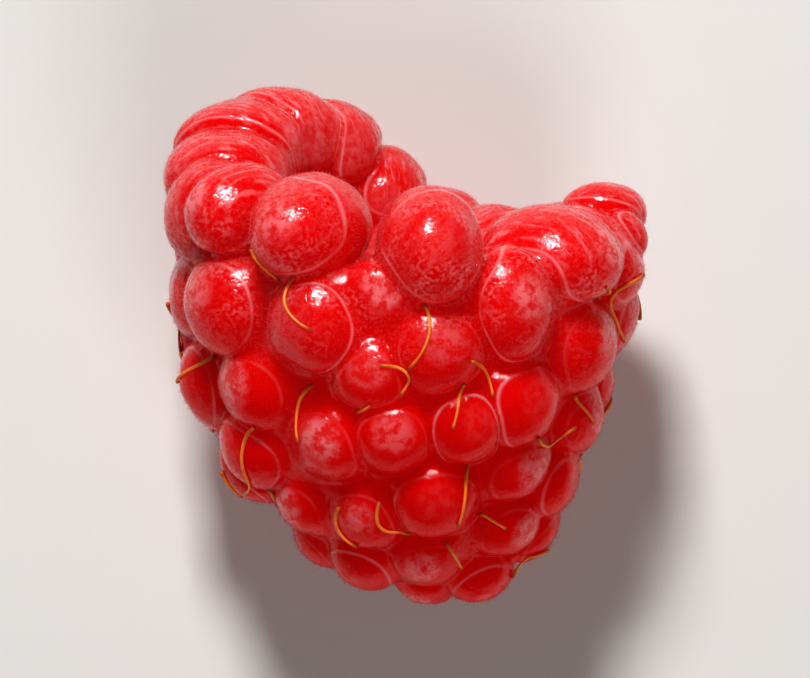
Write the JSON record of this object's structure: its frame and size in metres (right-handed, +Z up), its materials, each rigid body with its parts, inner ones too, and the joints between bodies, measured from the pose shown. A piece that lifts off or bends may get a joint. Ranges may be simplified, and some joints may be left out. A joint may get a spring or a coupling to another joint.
{
  "type": "raspberry",
  "caption": "Picked ripe red raspberry lying on its side, hollow where it came off its core.",
  "frame": {"origin": "centre of the fruit's bounding box in plan, on the surface it lies on", "axes": "+Z up; +Y from the pointed tip toward the open end; +X to the right seen from the tip"},
  "size_m": [0.02, 0.0216, 0.0175],
  "materials": {
    "fruit_skin": "soft gloss, translucent ripe red flesh with a faint velvety bloom"
  },
  "bodies": {
    "root": {"raspberry": "fruit_skin"}
  },
  "joints": []
}
